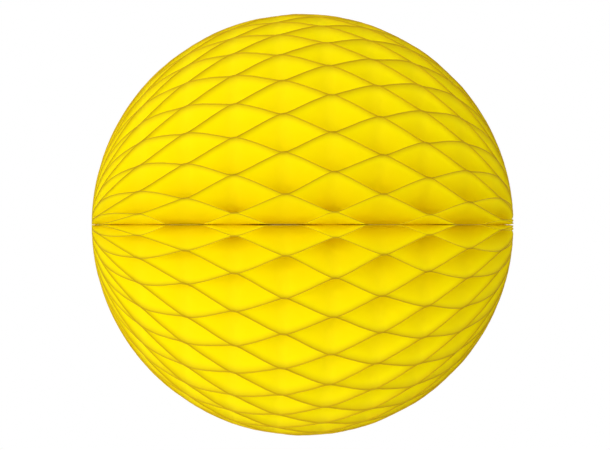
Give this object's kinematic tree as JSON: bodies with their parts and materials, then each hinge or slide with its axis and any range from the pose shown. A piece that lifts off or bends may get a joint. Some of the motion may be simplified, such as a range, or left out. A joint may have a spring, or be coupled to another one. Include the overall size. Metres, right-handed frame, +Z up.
{
  "type": "paper honeycomb ball",
  "caption": "Ball of half-round tissue leaves glued in a honeycomb and fanned all the way round one straight spine; it folds to a flat half disc.",
  "frame": {"origin": "centre of the ball, in the middle of the spine", "axes": "+X along the spine to the right, -Y out of the seam towards the viewer, +Z up"},
  "size_m": [0.2498, 0.2497, 0.2498],
  "materials": {
    "tissue": "thin yellow tissue, matte, lets light through",
    "binding_thread": "cotton thread soaked with glue",
    "closing_tape": "thin double-sided tape"
  },
  "bodies": {
    "spine": {"spine_binding": "binding_thread", "knot_left": "binding_thread", "knot_right": "binding_thread", "leaf_pair_19": "tissue"},
    "pair_01": {"leaf_pair_01": "tissue", "seam_tape_1": "closing_tape", "seam_tape_2": "closing_tape", "seam_tape_3": "closing_tape", "seam_tape_4": "closing_tape"},
    "pair_02": {"leaf_pair_02": "tissue"},
    "pair_03": {"leaf_pair_03": "tissue"},
    "pair_04": {"leaf_pair_04": "tissue"},
    "pair_05": {"leaf_pair_05": "tissue"},
    "pair_06": {"leaf_pair_06": "tissue"},
    "pair_07": {"leaf_pair_07": "tissue"},
    "pair_08": {"leaf_pair_08": "tissue"},
    "pair_09": {"leaf_pair_09": "tissue"},
    "pair_10": {"leaf_pair_10": "tissue"},
    "pair_11": {"leaf_pair_11": "tissue"},
    "pair_12": {"leaf_pair_12": "tissue"},
    "pair_13": {"leaf_pair_13": "tissue"},
    "pair_14": {"leaf_pair_14": "tissue"},
    "pair_15": {"leaf_pair_15": "tissue"},
    "pair_16": {"leaf_pair_16": "tissue"},
    "pair_17": {"leaf_pair_17": "tissue"},
    "pair_18": {"leaf_pair_18": "tissue"},
    "pair_20": {"leaf_pair_20": "tissue"},
    "pair_21": {"leaf_pair_21": "tissue"},
    "pair_22": {"leaf_pair_22": "tissue"},
    "pair_23": {"leaf_pair_23": "tissue"},
    "pair_24": {"leaf_pair_24": "tissue"},
    "pair_25": {"leaf_pair_25": "tissue"},
    "pair_26": {"leaf_pair_26": "tissue"},
    "pair_27": {"leaf_pair_27": "tissue"},
    "pair_28": {"leaf_pair_28": "tissue"},
    "pair_29": {"leaf_pair_29": "tissue"},
    "pair_30": {"leaf_pair_30": "tissue"},
    "pair_31": {"leaf_pair_31": "tissue"},
    "pair_32": {"leaf_pair_32": "tissue"},
    "pair_33": {"leaf_pair_33": "tissue"},
    "pair_34": {"leaf_pair_34": "tissue"},
    "pair_35": {"leaf_pair_35": "tissue"},
    "pair_36": {"leaf_pair_36": "tissue"},
    "pair_37": {"leaf_pair_37": "tissue"}
  },
  "joints": [
    {"name": "fold", "type": "hinge", "parent": "spine", "child": "pair_01", "pos_m": [0, 0, 0], "axis": [-1, 0, 0], "range_deg": [0, 172.1], "deforming": ["leaf_pair_01", "leaf_pair_19"]},
    {"name": "fold_02", "type": "hinge", "parent": "spine", "child": "pair_02", "pos_m": [0, 0, 0], "axis": [-1, 0, 0], "range_deg": [0, 162.56], "deforming": ["leaf_pair_02"]},
    {"name": "fold_03", "type": "hinge", "parent": "spine", "child": "pair_03", "pos_m": [0, 0, 0], "axis": [-1, 0, 0], "range_deg": [0, 153], "deforming": ["leaf_pair_03"]},
    {"name": "fold_04", "type": "hinge", "parent": "spine", "child": "pair_04", "pos_m": [0, 0, 0], "axis": [-1, 0, 0], "range_deg": [0, 143.44], "deforming": ["leaf_pair_04"]},
    {"name": "fold_05", "type": "hinge", "parent": "spine", "child": "pair_05", "pos_m": [0, 0, 0], "axis": [-1, 0, 0], "range_deg": [0, 133.88], "deforming": ["leaf_pair_05"]},
    {"name": "fold_06", "type": "hinge", "parent": "spine", "child": "pair_06", "pos_m": [0, 0, 0], "axis": [-1, 0, 0], "range_deg": [0, 124.31], "deforming": ["leaf_pair_06"]},
    {"name": "fold_07", "type": "hinge", "parent": "spine", "child": "pair_07", "pos_m": [0, 0, 0], "axis": [-1, 0, 0], "range_deg": [0, 114.75], "deforming": ["leaf_pair_07"]},
    {"name": "fold_08", "type": "hinge", "parent": "spine", "child": "pair_08", "pos_m": [0, 0, 0], "axis": [-1, 0, 0], "range_deg": [0, 105.19], "deforming": ["leaf_pair_08"]},
    {"name": "fold_09", "type": "hinge", "parent": "spine", "child": "pair_09", "pos_m": [0, 0, 0], "axis": [-1, 0, 0], "range_deg": [0, 95.63], "deforming": ["leaf_pair_09"]},
    {"name": "fold_10", "type": "hinge", "parent": "spine", "child": "pair_10", "pos_m": [0, 0, 0], "axis": [-1, 0, 0], "range_deg": [0, 86.07], "deforming": ["leaf_pair_10"]},
    {"name": "fold_11", "type": "hinge", "parent": "spine", "child": "pair_11", "pos_m": [0, 0, 0], "axis": [-1, 0, 0], "range_deg": [0, 76.51], "deforming": ["leaf_pair_11"]},
    {"name": "fold_12", "type": "hinge", "parent": "spine", "child": "pair_12", "pos_m": [0, 0, 0], "axis": [-1, 0, 0], "range_deg": [0, 66.95], "deforming": ["leaf_pair_12"]},
    {"name": "fold_13", "type": "hinge", "parent": "spine", "child": "pair_13", "pos_m": [0, 0, 0], "axis": [-1, 0, 0], "range_deg": [0, 57.39], "deforming": ["leaf_pair_13"]},
    {"name": "fold_14", "type": "hinge", "parent": "spine", "child": "pair_14", "pos_m": [0, 0, 0], "axis": [-1, 0, 0], "range_deg": [0, 47.83], "deforming": ["leaf_pair_14"]},
    {"name": "fold_15", "type": "hinge", "parent": "spine", "child": "pair_15", "pos_m": [0, 0, 0], "axis": [-1, 0, 0], "range_deg": [0, 38.26], "deforming": ["leaf_pair_15"]},
    {"name": "fold_16", "type": "hinge", "parent": "spine", "child": "pair_16", "pos_m": [0, 0, 0], "axis": [-1, 0, 0], "range_deg": [0, 28.7], "deforming": ["leaf_pair_16"]},
    {"name": "fold_17", "type": "hinge", "parent": "spine", "child": "pair_17", "pos_m": [0, 0, 0], "axis": [-1, 0, 0], "range_deg": [0, 19.14], "deforming": ["leaf_pair_17"]},
    {"name": "fold_18", "type": "hinge", "parent": "spine", "child": "pair_18", "pos_m": [0, 0, 0], "axis": [-1, 0, 0], "range_deg": [0, 9.58], "deforming": ["leaf_pair_18"]},
    {"name": "fold_20", "type": "hinge", "parent": "spine", "child": "pair_20", "pos_m": [0, 0, 0], "axis": [1, 0, 0], "range_deg": [0, 9.58], "deforming": ["leaf_pair_20"]},
    {"name": "fold_21", "type": "hinge", "parent": "spine", "child": "pair_21", "pos_m": [0, 0, 0], "axis": [1, 0, 0], "range_deg": [0, 19.14], "deforming": ["leaf_pair_21"]},
    {"name": "fold_22", "type": "hinge", "parent": "spine", "child": "pair_22", "pos_m": [0, 0, 0], "axis": [1, 0, 0], "range_deg": [0, 28.7], "deforming": ["leaf_pair_22"]},
    {"name": "fold_23", "type": "hinge", "parent": "spine", "child": "pair_23", "pos_m": [0, 0, 0], "axis": [1, 0, 0], "range_deg": [0, 38.26], "deforming": ["leaf_pair_23"]},
    {"name": "fold_24", "type": "hinge", "parent": "spine", "child": "pair_24", "pos_m": [0, 0, 0], "axis": [1, 0, 0], "range_deg": [0, 47.83], "deforming": ["leaf_pair_24"]},
    {"name": "fold_25", "type": "hinge", "parent": "spine", "child": "pair_25", "pos_m": [0, 0, 0], "axis": [1, 0, 0], "range_deg": [0, 57.39], "deforming": ["leaf_pair_25"]},
    {"name": "fold_26", "type": "hinge", "parent": "spine", "child": "pair_26", "pos_m": [0, 0, 0], "axis": [1, 0, 0], "range_deg": [0, 66.95], "deforming": ["leaf_pair_26"]},
    {"name": "fold_27", "type": "hinge", "parent": "spine", "child": "pair_27", "pos_m": [0, 0, 0], "axis": [1, 0, 0], "range_deg": [0, 76.51], "deforming": ["leaf_pair_27"]},
    {"name": "fold_28", "type": "hinge", "parent": "spine", "child": "pair_28", "pos_m": [0, 0, 0], "axis": [1, 0, 0], "range_deg": [0, 86.07], "deforming": ["leaf_pair_28"]},
    {"name": "fold_29", "type": "hinge", "parent": "spine", "child": "pair_29", "pos_m": [0, 0, 0], "axis": [1, 0, 0], "range_deg": [0, 95.63], "deforming": ["leaf_pair_29"]},
    {"name": "fold_30", "type": "hinge", "parent": "spine", "child": "pair_30", "pos_m": [0, 0, 0], "axis": [1, 0, 0], "range_deg": [0, 105.19], "deforming": ["leaf_pair_30"]},
    {"name": "fold_31", "type": "hinge", "parent": "spine", "child": "pair_31", "pos_m": [0, 0, 0], "axis": [1, 0, 0], "range_deg": [0, 114.75], "deforming": ["leaf_pair_31"]},
    {"name": "fold_32", "type": "hinge", "parent": "spine", "child": "pair_32", "pos_m": [0, 0, 0], "axis": [1, 0, 0], "range_deg": [0, 124.31], "deforming": ["leaf_pair_32"]},
    {"name": "fold_33", "type": "hinge", "parent": "spine", "child": "pair_33", "pos_m": [0, 0, 0], "axis": [1, 0, 0], "range_deg": [0, 133.88], "deforming": ["leaf_pair_33"]},
    {"name": "fold_34", "type": "hinge", "parent": "spine", "child": "pair_34", "pos_m": [0, 0, 0], "axis": [1, 0, 0], "range_deg": [0, 143.44], "deforming": ["leaf_pair_34"]},
    {"name": "fold_35", "type": "hinge", "parent": "spine", "child": "pair_35", "pos_m": [0, 0, 0], "axis": [1, 0, 0], "range_deg": [0, 153], "deforming": ["leaf_pair_35"]},
    {"name": "fold_36", "type": "hinge", "parent": "spine", "child": "pair_36", "pos_m": [0, 0, 0], "axis": [1, 0, 0], "range_deg": [0, 162.56], "deforming": ["leaf_pair_36"]},
    {"name": "fold_37", "type": "hinge", "parent": "spine", "child": "pair_37", "pos_m": [0, 0, 0], "axis": [1, 0, 0], "range_deg": [0, 172.12], "deforming": ["leaf_pair_37"]}
  ],
  "couplings": [
    {"joint": "fold_02", "follows": "fold", "ratio": 0.94444},
    {"joint": "fold_03", "follows": "fold", "ratio": 0.88889},
    {"joint": "fold_04", "follows": "fold", "ratio": 0.83333},
    {"joint": "fold_05", "follows": "fold", "ratio": 0.77778},
    {"joint": "fold_06", "follows": "fold", "ratio": 0.72222},
    {"joint": "fold_07", "follows": "fold", "ratio": 0.66667},
    {"joint": "fold_08", "follows": "fold", "ratio": 0.61111},
    {"joint": "fold_09", "follows": "fold", "ratio": 0.55556},
    {"joint": "fold_10", "follows": "fold", "ratio": 0.5},
    {"joint": "fold_11", "follows": "fold", "ratio": 0.44444},
    {"joint": "fold_12", "follows": "fold", "ratio": 0.38889},
    {"joint": "fold_13", "follows": "fold", "ratio": 0.33333},
    {"joint": "fold_14", "follows": "fold", "ratio": 0.27778},
    {"joint": "fold_15", "follows": "fold", "ratio": 0.22222},
    {"joint": "fold_16", "follows": "fold", "ratio": 0.16667},
    {"joint": "fold_17", "follows": "fold", "ratio": 0.11111},
    {"joint": "fold_18", "follows": "fold", "ratio": 0.055556},
    {"joint": "fold_20", "follows": "fold", "ratio": 0.055556},
    {"joint": "fold_21", "follows": "fold", "ratio": 0.11111},
    {"joint": "fold_22", "follows": "fold", "ratio": 0.16667},
    {"joint": "fold_23", "follows": "fold", "ratio": 0.22222},
    {"joint": "fold_24", "follows": "fold", "ratio": 0.27778},
    {"joint": "fold_25", "follows": "fold", "ratio": 0.33333},
    {"joint": "fold_26", "follows": "fold", "ratio": 0.38889},
    {"joint": "fold_27", "follows": "fold", "ratio": 0.44444},
    {"joint": "fold_28", "follows": "fold", "ratio": 0.5},
    {"joint": "fold_29", "follows": "fold", "ratio": 0.55556},
    {"joint": "fold_30", "follows": "fold", "ratio": 0.61111},
    {"joint": "fold_31", "follows": "fold", "ratio": 0.66667},
    {"joint": "fold_32", "follows": "fold", "ratio": 0.72222},
    {"joint": "fold_33", "follows": "fold", "ratio": 0.77778},
    {"joint": "fold_34", "follows": "fold", "ratio": 0.83333},
    {"joint": "fold_35", "follows": "fold", "ratio": 0.88889},
    {"joint": "fold_36", "follows": "fold", "ratio": 0.94444},
    {"joint": "fold_37", "follows": "fold", "ratio": 1}
  ]
}
